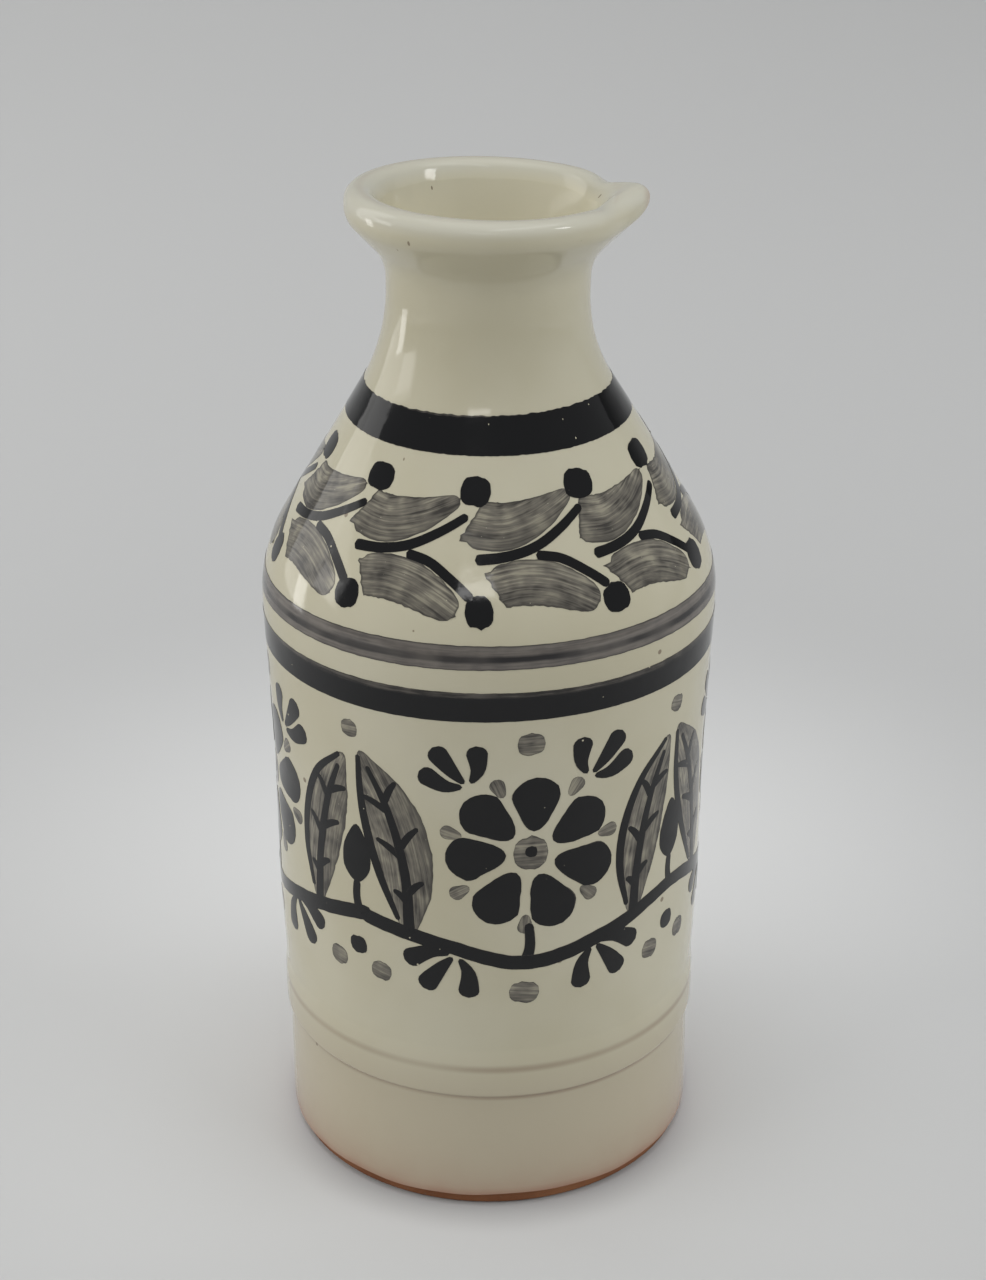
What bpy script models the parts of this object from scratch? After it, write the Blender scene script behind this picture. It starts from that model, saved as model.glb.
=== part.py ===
"""Oil cruet: a wheel-thrown earthenware bottle with a rolled lip and a pinched pouring spout.

Three pieces share one turned outline: the clay, the glaze on its outside and the glaze poured inside.
Metres, +Z up, origin on the table under the middle of the foot, spout towards +X.
"""
from math import acos, atan2, ceil, cos, hypot, pi, radians, sin, tan

import bpy

# Finished heights, stacked from the table up
FOOT_BAND_HEIGHT = 0.0254
COLLAR_HEIGHT = 0.0078
BODY_HEIGHT = 0.0885
SHOULDER_HEIGHT = 0.0413
NECK_HEIGHT = 0.0152
FLARE_HEIGHT = 0.0077
LIP_HEIGHT = 0.0046

# Finished radii
FOOT_RADIUS = 0.0405
COLLAR_STEP = 0.0008
WAIST_STEP = 0.0005
BELLY_STEP = 0.0012
SHOULDER_RADIUS = 0.0432
NECK_RADIUS = 0.0185
LIP_RADIUS = 0.0257

# Walls
WALL = 0.0056
LIP_THICKNESS = 0.0064
LIP_CREST = 0.0029
LIP_SLOPE = 0.0019
LIP_DROP = 0.0031
THROAT_STEP = 0.0032
THROAT_DROP = 0.0075
THROAT_LOW = 0.0054
FLOOR_HEIGHT = 0.0072

# Foot
FOOT_RING_WIDTH = 0.0075
FOOT_RECESS_DEPTH = 0.0012
FOOT_EDGE_ROUND = 0.0008
BARE_FOOT_HEIGHT = 0.0024

# Roundings of the outline's corners
CREASE_RISE = 0.0009
COLLAR_EASE = 0.0032
BELLY_RISE = 0.0160
BELLY_LENGTH = 0.0296
BELLY_ROUND = 0.3000
SHOULDER_ROUND = 0.0300
NECK_ROUND = 0.0370
FLARE_ROUND = 0.0090
LIP_ROUND = 0.0037
LIP_INNER_ROUND = 0.0027
FLOOR_ROUND = 0.0090

# Pouring spout, pulled out of the lip
SPOUT_REACH = 0.0031
SPOUT_LIFT = 0.0010
SPOUT_HALF_ANGLE = radians(23)
SPOUT_HEIGHT = 0.0150

# Glaze
COAT = 0.0005
SEAM = 0.0003

# Colours, as linear red, green and blue
RED_CLAY = (0.40, 0.155, 0.065)
CREAM_GLAZE = (0.525, 0.494, 0.378)
LINER_CREAM = (0.50, 0.465, 0.345)

# Facets
TURN_STEPS = 48
CHORD_ERROR = 0.0002
STRAIGHT = radians(0.1)
SHARP = radians(40)
LONGEST_ROUNDING = 0.48

# Radii of the outline's steps, out from the foot
COLLAR_RADIUS = FOOT_RADIUS + COLLAR_STEP
WAIST_RADIUS = FOOT_RADIUS + WAIST_STEP
BELLY_RADIUS = FOOT_RADIUS + BELLY_STEP
THROAT_RADIUS = NECK_RADIUS - WALL
THROAT_EDGE = LIP_RADIUS - LIP_THICKNESS

# Heights of the outline's corners, from the stack above
COLLAR_TOP = FOOT_BAND_HEIGHT + COLLAR_HEIGHT
WAIST_TOP = COLLAR_TOP + COLLAR_EASE
BELLY_BOTTOM = WAIST_TOP + BELLY_RISE
BELLY_TOP = BELLY_BOTTOM + BELLY_LENGTH
SHOULDER_TOP = COLLAR_TOP + BODY_HEIGHT
NECK_BOTTOM = SHOULDER_TOP + SHOULDER_HEIGHT
NECK_TOP = NECK_BOTTOM + NECK_HEIGHT
LIP_BOTTOM = NECK_TOP + FLARE_HEIGHT
LIP_TOP = LIP_BOTTOM + LIP_HEIGHT
SKIN = COAT + SEAM


def direction(start, end):
    """Unit vector from one outline point to the next."""
    run = end[0] - start[0]
    rise = end[1] - start[1]
    length = hypot(run, rise)
    return run / length, rise / length


def shifted(outline, distance):
    """The outline moved sideways, to the right of its direction, with mitred corners."""
    moved = []
    last = len(outline) - 1
    for index, (r, z) in enumerate(outline):
        before = direction(outline[max(index - 1, 0)], outline[max(index, 1)])
        after = direction(outline[min(index, last - 1)], outline[min(index + 1, last)])
        normal_r = before[1] + after[1]
        normal_z = -before[0] - after[0]
        share = 1 + before[0] * after[0] + before[1] * after[1]
        moved.append((r + normal_r / share * distance, z + normal_z / share * distance))
    return moved


def rounded(corners):
    """An outline from (r, z, rounding) corners; each rounding is an arc between its two straights."""
    outline = [corners[0][:2]]
    for before, corner, after in zip(corners, corners[1:], corners[2:]):
        way_in = direction(before, corner)
        way_out = direction(corner, after)
        turn = atan2(way_in[0] * way_out[1] - way_in[1] * way_out[0],
                     way_in[0] * way_out[0] + way_in[1] * way_out[1])
        if corner[2] == 0 or abs(turn) < STRAIGHT:
            outline.append(corner[:2])
            continue
        room = min(hypot(corner[0] - before[0], corner[1] - before[1]),
                   hypot(after[0] - corner[0], after[1] - corner[1]))
        reach = min(corner[2] * tan(abs(turn) / 2), LONGEST_ROUNDING * room)
        radius = reach / tan(abs(turn) / 2)
        side = 1 if turn > 0 else -1
        start_r = corner[0] - way_in[0] * reach
        start_z = corner[1] - way_in[1] * reach
        centre_r = start_r - way_in[1] * radius * side
        centre_z = start_z + way_in[0] * radius * side
        heading = atan2(start_z - centre_z, start_r - centre_r)
        steps = ceil(abs(turn) / (2 * acos(1 - min(CHORD_ERROR / radius, 1))))
        for step in range(steps + 1):
            angle = heading + turn * step / steps
            outline.append((centre_r + radius * cos(angle), centre_z + radius * sin(angle)))
    outline.append(corners[-1][:2])
    return outline


def outside():
    """Finished outside, from the bare foot line up to the middle of the lip's crest."""
    return rounded([
        (FOOT_RADIUS, BARE_FOOT_HEIGHT, 0),
        (FOOT_RADIUS, FOOT_BAND_HEIGHT, 0),
        (COLLAR_RADIUS, FOOT_BAND_HEIGHT + CREASE_RISE, 0),
        (COLLAR_RADIUS, COLLAR_TOP, 0),
        (WAIST_RADIUS, WAIST_TOP, 0),
        (BELLY_RADIUS, BELLY_BOTTOM, BELLY_ROUND),
        (BELLY_RADIUS, BELLY_TOP, BELLY_ROUND),
        (SHOULDER_RADIUS, SHOULDER_TOP, SHOULDER_ROUND),
        (NECK_RADIUS, NECK_BOTTOM, NECK_ROUND),
        (NECK_RADIUS, NECK_TOP, FLARE_ROUND),
        (LIP_RADIUS, LIP_BOTTOM, LIP_ROUND),
        (LIP_RADIUS, LIP_TOP, LIP_ROUND),
        (LIP_RADIUS - LIP_CREST, LIP_TOP, 0),
    ])


def inside():
    """Finished inside, from the middle of the lip's crest down to the middle of the floor."""
    wall_corners = shifted([
        (FOOT_RADIUS, FOOT_BAND_HEIGHT),
        (WAIST_RADIUS, WAIST_TOP),
        (BELLY_RADIUS, BELLY_BOTTOM),
        (BELLY_RADIUS, BELLY_TOP),
        (SHOULDER_RADIUS, SHOULDER_TOP),
        (NECK_RADIUS, NECK_BOTTOM),
        (NECK_RADIUS, NECK_TOP),
    ], -WALL)
    waist, belly_bottom, belly_top, shoulder, throat_bottom = wall_corners[1:6]
    return rounded([
        (LIP_RADIUS - LIP_CREST, LIP_TOP, 0),
        (THROAT_EDGE + LIP_SLOPE, LIP_TOP, LIP_INNER_ROUND),
        (THROAT_EDGE, LIP_TOP - LIP_DROP, 0),
        (THROAT_EDGE - THROAT_STEP, LIP_BOTTOM - THROAT_DROP, 0),
        (THROAT_RADIUS, NECK_TOP - THROAT_LOW, FLARE_ROUND),
        (*throat_bottom, NECK_ROUND - WALL),
        (*shoulder, SHOULDER_ROUND - WALL),
        (*belly_top, 0),
        (*belly_bottom, 0),
        (*waist, 0),
        (FOOT_RADIUS - WALL, FLOOR_HEIGHT, FLOOR_ROUND),
        (0, FLOOR_HEIGHT, 0),
    ])


def trimmed(outline, length, at_start):
    """The outline with a short length taken off one end, along its first or last straight."""
    end, neighbour = (0, 1) if at_start else (-1, -2)
    run, rise = direction(outline[end], outline[neighbour])
    cut = list(outline)
    cut[end] = (outline[end][0] + run * length, outline[end][1] + rise * length)
    return cut


def turned(name, profile, closed, material, collection):
    """A solid of revolution about Z, from a profile that runs down its outer side."""
    edges = [(index, index + 1) for index in range(len(profile) - 1)]
    if closed:
        edges.append((len(profile) - 1, 0))
    mesh = bpy.data.meshes.new(name + "_profile")
    mesh.from_pydata([(r, 0, z) for r, z in profile], edges, [])
    piece = bpy.data.objects.new(name, mesh)
    collection.objects.link(piece)
    screw = piece.modifiers.new("turning", "SCREW")
    screw.axis = "Z"
    screw.angle = 2 * pi
    screw.steps = TURN_STEPS
    screw.render_steps = TURN_STEPS
    screw.use_merge_vertices = True
    screw.merge_threshold = SEAM / 10
    piece.data = turned_mesh(piece, name)
    pull_spout(piece.data)
    piece.data.shade_smooth()
    piece.data.set_sharp_from_angle(angle=SHARP)
    piece.data.materials.append(material)
    return piece


def turned_mesh(piece, name):
    """The piece's mesh with its turning applied."""
    graph = bpy.context.evaluated_depsgraph_get()
    mesh = bpy.data.meshes.new_from_object(piece.evaluated_get(graph))
    mesh.name = name
    piece.modifiers.clear()
    return mesh


def ease(share):
    """Smooth rise from 0 to 1 as the share goes from 0 to 1."""
    held = min(max(share, 0), 1)
    return held * held * (3 - 2 * held)


def pull_spout(mesh):
    """Draws the lip out and up around +X, fading to nothing at the spout's sides, foot and throat."""
    for vertex in mesh.vertices:
        angle = abs(atan2(vertex.co.y, vertex.co.x))
        radius = hypot(vertex.co.x, vertex.co.y)
        up = ease((vertex.co.z - LIP_TOP + SPOUT_HEIGHT) / SPOUT_HEIGHT)
        across = ease(1 - angle / SPOUT_HALF_ANGLE)
        outward = ease((radius - THROAT_EDGE) / LIP_CREST)
        vertex.co.x += SPOUT_REACH * up * across * outward
        vertex.co.z += SPOUT_LIFT * up * across * outward


def plain_material(name, colour, roughness):
    """A Principled material of one colour."""
    material = bpy.data.materials.new(name)
    material.use_nodes = True
    shader = material.node_tree.nodes["Principled BSDF"]
    shader.inputs["Base Color"].default_value = (*colour, 1)
    shader.inputs["Roughness"].default_value = roughness
    shader.inputs["Metallic"].default_value = 0
    return material


def clay_body(collection):
    """The fired pot: wall, floor, neck, lip and a bare foot ring around a shallow turned recess."""
    ring_radius = FOOT_RADIUS - SKIN
    wall_outside = shifted(outside(), -SKIN)
    wall_inside = shifted(inside(), -SKIN)
    foot = rounded([
        (ring_radius, BARE_FOOT_HEIGHT, 0),
        (ring_radius, 0, FOOT_EDGE_ROUND),
        (ring_radius - FOOT_RING_WIDTH, 0, 0),
        (ring_radius - FOOT_RING_WIDTH - FOOT_RECESS_DEPTH, FOOT_RECESS_DEPTH, 0),
        (0, FOOT_RECESS_DEPTH, 0),
    ])
    profile = wall_inside[::-1] + wall_outside[-2::-1] + foot[1:]
    return turned("clay_body", profile, False, plain_material("red_clay", RED_CLAY, 0.8), collection)


def outer_glaze(collection):
    """The coat on the outside, ending at the bare foot and half a seam short of the crest's middle."""
    face = trimmed(outside(), SEAM / 2, False)
    profile = face[::-1] + shifted(face, -COAT)
    return turned("outer_glaze", profile, True, plain_material("cream_glaze", CREAM_GLAZE, 0.12), collection)


def liner_glaze(collection):
    """The coat poured inside, from half a seam past the crest's middle down over the whole floor."""
    face = trimmed(inside(), SEAM / 2, True)
    profile = face[::-1] + shifted(face, -COAT)
    return turned("liner_glaze", profile, False, plain_material("liner_cream", LINER_CREAM, 0.14), collection)


def main():
    for old in list(bpy.data.objects):
        bpy.data.objects.remove(old, do_unlink=True)
    cruet = bpy.data.collections.new("oil_cruet")
    bpy.context.scene.collection.children.link(cruet)
    clay_body(cruet)
    outer_glaze(cruet)
    liner_glaze(cruet)


main()
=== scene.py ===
"""Looks of the oil cruet: its glaze, bare clay and brushed decoration, with the light and the camera.

Metres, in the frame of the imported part. Angles around the pot are counted from the camera's side,
towards the spout; heights are above the table.
"""

from math import acos, atan2, ceil, cos, hypot, pi, radians, sin, tan
from random import Random

import bpy
import numpy as np
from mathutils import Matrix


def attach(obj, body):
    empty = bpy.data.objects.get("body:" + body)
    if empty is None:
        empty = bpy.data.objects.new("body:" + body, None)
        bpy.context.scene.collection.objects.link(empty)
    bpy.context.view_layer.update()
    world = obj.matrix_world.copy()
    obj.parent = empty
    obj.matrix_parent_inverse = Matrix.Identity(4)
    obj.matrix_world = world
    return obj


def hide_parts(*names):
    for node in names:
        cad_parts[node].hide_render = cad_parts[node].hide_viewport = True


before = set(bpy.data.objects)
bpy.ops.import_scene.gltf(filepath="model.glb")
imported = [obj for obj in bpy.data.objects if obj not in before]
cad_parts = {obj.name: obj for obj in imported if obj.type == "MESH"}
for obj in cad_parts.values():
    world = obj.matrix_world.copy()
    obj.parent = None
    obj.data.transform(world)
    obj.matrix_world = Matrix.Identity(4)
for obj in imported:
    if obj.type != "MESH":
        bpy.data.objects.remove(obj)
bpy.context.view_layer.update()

MM = 0.001

# Pot outline, as in the part's source
BARE_FOOT_HEIGHT = 2.4 * MM
FOOT_BAND_HEIGHT = 25.4 * MM
COLLAR_TOP = 33.2 * MM
WAIST_TOP = 36.4 * MM
BELLY_BOTTOM = 52.4 * MM
BELLY_TOP = 82.0 * MM
SHOULDER_TOP = 121.7 * MM
NECK_BOTTOM = 163.0 * MM
NECK_TOP = 178.2 * MM
LIP_BOTTOM = 185.9 * MM
LIP_TOP = 190.5 * MM
FOOT_RADIUS = 40.5 * MM
COLLAR_RADIUS = 41.3 * MM
WAIST_RADIUS = 41.0 * MM
BELLY_RADIUS = 41.7 * MM
SHOULDER_RADIUS = 43.2 * MM
NECK_RADIUS = 18.5 * MM
LIP_RADIUS = 25.7 * MM
LIP_THICKNESS = 6.4 * MM
LIP_CREST = 2.9 * MM
LIP_SLOPE = 1.9 * MM
LIP_DROP = 3.1 * MM
THROAT_STEP = 3.2 * MM
THROAT_DROP = 7.5 * MM
THROAT_LOW = 5.4 * MM
WALL = 5.6 * MM
FLOOR_HEIGHT = 7.2 * MM
COAT = 0.5 * MM
SKIN = 0.8 * MM
FOOT_RING_WIDTH = 7.5 * MM
FOOT_RECESS_DEPTH = 1.2 * MM

# Spout, pulled out of the lip at +X
SPOUT_REACH = 3.1 * MM
SPOUT_LIFT = 1.2 * MM
SPOUT_HALF_ANGLE = radians(21)
SPOUT_HEIGHT = 15 * MM
SPOUT_PRESS = 0.6 * MM
SPOUT_DIP = 0.5 * MM
RIM_TILT = 0.7 * MM
RIM_LEAN = 0.05 * MM
RIM_HEIGHT = 7 * MM
THROAT_RADIUS = NECK_RADIUS - WALL
THROAT_EDGE = LIP_RADIUS - LIP_THICKNESS

# Fineness of the turned pieces
TURN_STEPS = 192
FINE_CHORD = 0.01 * MM
COARSE_CHORD = 0.1 * MM
FINE_SPAN = 1.6 * MM
COARSE_SPAN = 8 * MM
SMOOTH_ANGLE = radians(50)

# Paint films stand this far off the glaze, thin washes under full strokes
WASH_HEIGHT = 0.03 * MM
STROKE_HEIGHT = 0.06 * MM
FILM_DEPTH = 0.14 * MM
LEAN_SPAN = 0.4 * MM
STROKE_SPAN = 0.75 * MM
STROKE_SAMPLES = 360
RING_STEPS = 400
RING_SAMPLES = 801

# Share of a stroke's width that is worn to grey along its upper edge
BAND_FRINGE = 0.24
HAIR_FRINGE = 0.0001

GLAZE_IOR = 1.46

# Colours, linear
CREAM = (0.525, 0.494, 0.378, 1)
CREAM_DEEP = (0.485, 0.45, 0.328, 1)
# Painted light inside the throat, lighter than the cream
PAINTED_THROAT_LIGHT = (0.7, 0.655, 0.495, 1)
LIP_CREAM = (0.535, 0.518, 0.435, 1)
WARM_CREAM = (0.443, 0.393, 0.292, 1)
THIN_GLAZE = (0.34, 0.195, 0.135, 1)
CREASE_SHADE = (0.215, 0.145, 0.1, 1)
SPECK = (0.14, 0.095, 0.06, 1)
BLACK_PAINT = (0.0015, 0.0015, 0.0022, 1)
WORN_BLACK = (0.085, 0.076, 0.066, 1)
WASH_PALE = (0.29, 0.268, 0.205, 1)
WASH_MIDDLE = (0.15, 0.137, 0.113, 1)
WASH_DARK = (0.045, 0.041, 0.036, 1)
BAND_PALE = (0.165, 0.148, 0.13, 1)
BAND_MIDDLE = (0.10, 0.09, 0.083, 1)
BAND_DARK = (0.02, 0.0185, 0.019, 1)
RED_CLAY = (0.15, 0.05, 0.017, 1)
PALE_CLAY = (0.23, 0.096, 0.04, 1)
PAPER = (0.59, 0.59, 0.59, 1)
# Painted pool of light on the paper around the pot
PAPER_LIGHT_POOL = (0.76, 0.76, 0.76, 1)
PAPER_SHADE = (0.28, 0.28, 0.278, 1)


# Outline of the pot

def direction(start, end):
    """Unit vector from one outline point to the next."""
    run = end[0] - start[0]
    rise = end[1] - start[1]
    length = hypot(run, rise)
    return run / length, rise / length


def shifted(outline, distance):
    """The outline moved to the right of its direction, with mitred corners."""
    moved = []
    last = len(outline) - 1
    for index, (r, z) in enumerate(outline):
        before = direction(outline[max(index - 1, 0)], outline[max(index, 1)])
        after = direction(outline[min(index, last - 1)], outline[min(index + 1, last)])
        share = 1 + before[0] * after[0] + before[1] * after[1]
        moved.append((r + (before[1] + after[1]) / share * distance,
                      z - (before[0] + after[0]) / share * distance))
    return moved


def rounded(corners, chord, span):
    """An outline through (r, z, rounding) corners, with arcs at the corners and no step longer than span."""
    outline = [corners[0][:2]]
    for before, corner, after in zip(corners, corners[1:], corners[2:]):
        way_in = direction(before, corner)
        way_out = direction(corner, after)
        turn = atan2(way_in[0] * way_out[1] - way_in[1] * way_out[0],
                     way_in[0] * way_out[0] + way_in[1] * way_out[1])
        if corner[2] == 0:
            outline.append(corner[:2])
            continue
        reach = corner[2] * tan(abs(turn) / 2)
        side = 1 if turn > 0 else -1
        start_r = corner[0] - way_in[0] * reach
        start_z = corner[1] - way_in[1] * reach
        centre_r = start_r - way_in[1] * corner[2] * side
        centre_z = start_z + way_in[0] * corner[2] * side
        heading = atan2(start_z - centre_z, start_r - centre_r)
        steps = max(2, ceil(abs(turn) / (2 * acos(1 - chord / corner[2]))))
        for step in range(steps + 1):
            angle = heading + turn * step / steps
            outline.append((centre_r + corner[2] * cos(angle), centre_z + corner[2] * sin(angle)))
    outline.append(corners[-1][:2])
    return divided(outline, span)


def divided(outline, span):
    """The outline with its long straights cut into equal steps."""
    points = [outline[0]]
    for start, end in zip(outline, outline[1:]):
        steps = max(1, ceil(hypot(end[0] - start[0], end[1] - start[1]) / span))
        for step in range(1, steps + 1):
            share = step / steps
            points.append((start[0] + (end[0] - start[0]) * share, start[1] + (end[1] - start[1]) * share))
    return points


def outside(chord, span):
    """Glazed outside, from the bare foot line up to the middle of the lip's crest."""
    return rounded([
        (FOOT_RADIUS, BARE_FOOT_HEIGHT, 0),
        (FOOT_RADIUS, FOOT_BAND_HEIGHT, 0.4 * MM),
        (COLLAR_RADIUS, FOOT_BAND_HEIGHT + 0.9 * MM, 0.7 * MM),
        (COLLAR_RADIUS, COLLAR_TOP, 2.5 * MM),
        (WAIST_RADIUS, WAIST_TOP, 7 * MM),
        (BELLY_RADIUS, BELLY_BOTTOM, 300 * MM),
        (BELLY_RADIUS, BELLY_TOP, 300 * MM),
        (SHOULDER_RADIUS, SHOULDER_TOP, 30 * MM),
        (NECK_RADIUS, NECK_BOTTOM, 37 * MM),
        (NECK_RADIUS, NECK_TOP, 9 * MM),
        (LIP_RADIUS, LIP_BOTTOM, 3.7 * MM),
        (LIP_RADIUS, LIP_TOP, 2.6 * MM),
        (LIP_RADIUS - LIP_CREST, LIP_TOP, 0),
    ], chord, span)


def inside(chord, span):
    """Glazed inside, from the middle of the lip's crest down to the middle of the floor."""
    corners = shifted([
        (FOOT_RADIUS, FOOT_BAND_HEIGHT),
        (WAIST_RADIUS, WAIST_TOP),
        (BELLY_RADIUS, BELLY_BOTTOM),
        (BELLY_RADIUS, BELLY_TOP),
        (SHOULDER_RADIUS, SHOULDER_TOP),
        (NECK_RADIUS, NECK_BOTTOM),
        (NECK_RADIUS, NECK_TOP),
    ], -WALL)
    waist, belly_bottom, belly_top, shoulder, throat_bottom = corners[1:6]
    return rounded([
        (LIP_RADIUS - LIP_CREST, LIP_TOP, 0),
        (THROAT_EDGE + LIP_SLOPE, LIP_TOP, 2.7 * MM),
        (THROAT_EDGE, LIP_TOP - LIP_DROP, 1.6 * MM),
        (THROAT_EDGE - THROAT_STEP, LIP_BOTTOM - THROAT_DROP, 10 * MM),
        (THROAT_RADIUS, NECK_TOP - THROAT_LOW, 9 * MM),
        (*throat_bottom, 31 * MM),
        (*shoulder, 24 * MM),
        (*belly_top, 0),
        (*belly_bottom, 0),
        (*waist, 0),
        (FOOT_RADIUS - WALL, FLOOR_HEIGHT, 9 * MM),
        (0, FLOOR_HEIGHT, 0),
    ], chord, span)


WALL_OUTLINE = np.array(outside(FINE_CHORD, 0.5 * MM))
WALL_LENGTH = np.concatenate(([0], np.cumsum(np.hypot(*np.diff(WALL_OUTLINE, axis=0).T))))


def ease(share):
    """Smooth rise from 0 to 1 as the share goes from 0 to 1."""
    held = np.clip(share, 0, 1)
    return held * held * (3 - 2 * held)


def wobble(angle, height):
    """How far the hand-thrown wall stands off a true turning, by angle and height."""
    slow = 0.11 * np.sin(2 * angle + 0.9 + height / (70 * MM)) + 0.06 * np.sin(3 * angle - height / (45 * MM))
    rings = 0.010 * np.sin(height / (1.1 * MM) + 0.7 * np.sin(angle))
    turned_in = 0.5 * (1 + np.sin(angle - 0.2)) ** 2 / 4 * np.exp(-((height - 162 * MM) / (11 * MM)) ** 2)
    held = ease((height - 4 * MM) / (20 * MM)) * ease((LIP_TOP - height) / (20 * MM))
    return (slow + rings - turned_in) * MM * held


def length_at(height):
    """Distance along the outside wall, up from the bare foot, at a height below the lip."""
    return np.interp(height, WALL_OUTLINE[:, 1], WALL_LENGTH)


def wall_at(length):
    """Radius and height of the outside wall at a distance up it."""
    return np.array([np.interp(length, WALL_LENGTH, WALL_OUTLINE[:, column]) for column in (0, 1)])


def on_wall(angle, length, off):
    """Points on the outside wall at an angle and a distance up the wall, standing off by a little."""
    r, z = wall_at(length)
    lean_r, lean_z = wall_at(length + LEAN_SPAN) - wall_at(length - LEAN_SPAN)
    lean = np.hypot(lean_r, lean_z)
    r = r + wobble(angle, z) + off * lean_z / lean
    z = z - off * lean_r / lean
    return np.stack([r * np.sin(angle), -r * np.cos(angle), z], axis=-1)


# Meshes

def coordinates(piece):
    """A piece's vertex places as an array."""
    places = np.empty(len(piece.data.vertices) * 3)
    piece.data.vertices.foreach_get("co", places)
    return places.reshape(-1, 3)


def place(piece, places):
    """Puts a piece's vertices where the array says."""
    piece.data.vertices.foreach_set("co", places.ravel())
    piece.data.update()


def around(places):
    """Each place's angle around the pot and its distance from the axis."""
    return np.arctan2(places[:, 0], -places[:, 1]), np.hypot(places[:, 0], places[:, 1])


def corner_points(piece):
    """The vertex at each corner of each face."""
    corners = np.empty(len(piece.data.loops), dtype=int)
    piece.data.loops.foreach_get("vertex_index", corners)
    return corners


def select_only(pieces):
    """Selects these pieces alone, with the first one active."""
    bpy.ops.object.select_all(action="DESELECT")
    for piece in pieces:
        piece.select_set(True)
    bpy.context.view_layer.objects.active = pieces[0]


def turned_piece(name, profile):
    """A profile drawn by extruding one vertex, spun about Z and closed."""
    bpy.ops.object.select_all(action="DESELECT")
    bpy.ops.mesh.primitive_plane_add(size=MM)
    piece = bpy.context.object
    piece.name = name
    bpy.ops.object.mode_set(mode="EDIT")
    bpy.ops.mesh.select_all(action="SELECT")
    bpy.ops.mesh.merge(type="CENTER")
    bpy.ops.transform.translate(value=(profile[0][0], 0, profile[0][1]))
    for start, end in zip(profile, profile[1:]):
        step = (end[0] - start[0], 0, end[1] - start[1])
        bpy.ops.mesh.extrude_region_move(TRANSFORM_OT_translate={"value": step})
    bpy.ops.mesh.select_all(action="SELECT")
    bpy.ops.mesh.spin(steps=TURN_STEPS, angle=2 * pi, center=(0, 0, 0), axis=(0, 0, 1))
    bpy.ops.mesh.select_all(action="SELECT")
    bpy.ops.mesh.remove_doubles(threshold=0.0005 * MM)
    bpy.ops.mesh.normals_make_consistent(inside=False)
    bpy.ops.object.mode_set(mode="OBJECT")
    return piece


def pull_spout(places):
    """Draws the lip out and up around +X, with the rim pressed in and down at both sides of the spout."""
    x, y, z = places.T
    angle = np.abs(np.arctan2(y, x))
    radius = np.hypot(x, y)
    up = ease((z - LIP_TOP + SPOUT_HEIGHT) / SPOUT_HEIGHT)
    outward = ease((radius - THROAT_EDGE + 1 * MM) / (LIP_CREST + 1.4 * MM))
    across = ease(1 - angle / SPOUT_HALF_ANGLE)
    pressed = np.exp(-((angle - 1.25 * SPOUT_HALF_ANGLE) / (0.5 * SPOUT_HALF_ANGLE)) ** 2)
    tilt = (RIM_TILT * x + RIM_LEAN * y) / LIP_RADIUS
    rim = ease((z - LIP_TOP + RIM_HEIGHT) / RIM_HEIGHT)
    inward = 1 - SPOUT_PRESS * pressed * up * outward / np.maximum(radius, THROAT_RADIUS)
    return np.stack([x * inward + SPOUT_REACH * across * up * outward, y * inward,
                     z + ((SPOUT_LIFT * across * outward - SPOUT_DIP * pressed) * up - tilt * rim)], axis=-1)


def push_wall(places):
    """Gives turned places the unevenness of the thrown wall."""
    angle, radius = around(places)
    share = 1 + wobble(angle, places[:, 2]) / np.maximum(radius, 10 * MM)
    places[:, :2] *= share[:, None]
    return places


def finish_piece(piece, material):
    """Smooth shading, one material and the piece's place on the part."""
    select_only([piece])
    bpy.ops.object.shade_smooth_by_angle(angle=SMOOTH_ANGLE)
    piece.data.materials.clear()
    piece.data.materials.append(material)
    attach(piece, "root")


# Materials

def new_material(name):
    """A new Principled material, with its node tree and its shader."""
    material = bpy.data.materials.new(name)
    material.use_nodes = True
    tree = material.node_tree
    return material, tree, tree.nodes["Principled BSDF"]


def add(tree, kind, **values):
    """A node of a kind, with its properties set by name."""
    made = tree.nodes.new(kind)
    for name, value in values.items():
        setattr(made, name, value)
    return made


def plug(tree, source, socket):
    """Links a socket to a source, or sets it to a plain value."""
    if isinstance(source, bpy.types.NodeSocket):
        tree.links.new(source, socket)
    else:
        socket.default_value = source


def feed(tree, node, **sources):
    """Sets or links a node's inputs; an underscore in a name stands for a space."""
    for name, source in sources.items():
        plug(tree, source, node.inputs[name.replace("_", " ")])
    return node


def noise(tree, vector, scale, detail=2.0, rough=0.5):
    """The value of a noise texture."""
    made = add(tree, "ShaderNodeTexNoise")
    feed(tree, made, Vector=vector, Scale=scale, Detail=detail, Roughness=rough)
    return made.outputs["Fac"]


def spread(tree, value, low, high, start=0.0, end=1.0):
    """A value's range low..high mapped smoothly to start..end."""
    made = add(tree, "ShaderNodeMapRange", interpolation_type="SMOOTHSTEP")
    feed(tree, made, Value=value, From_Min=low, From_Max=high, To_Min=start, To_Max=end)
    return made.outputs["Result"]


def combine(tree, operation, first, second=0.0):
    """One step of arithmetic on one value or two."""
    made = add(tree, "ShaderNodeMath", operation=operation)
    for socket, source in zip(made.inputs, (first, second)):
        plug(tree, source, socket)
    return made.outputs[0]


def times(tree, first, second):
    """The product of two values."""
    return combine(tree, "MULTIPLY", first, second)


def scaled(tree, vector, factors):
    """A vector with each of its parts times a factor of its own."""
    made = add(tree, "ShaderNodeVectorMath", operation="MULTIPLY")
    plug(tree, vector, made.inputs[0])
    plug(tree, factors, made.inputs[1])
    return made.outputs[0]


def far_from(tree, vector, centre):
    """How far a place is from a centre."""
    made = add(tree, "ShaderNodeVectorMath", operation="DISTANCE")
    plug(tree, vector, made.inputs[0])
    plug(tree, centre, made.inputs[1])
    return made.outputs["Value"]


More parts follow.
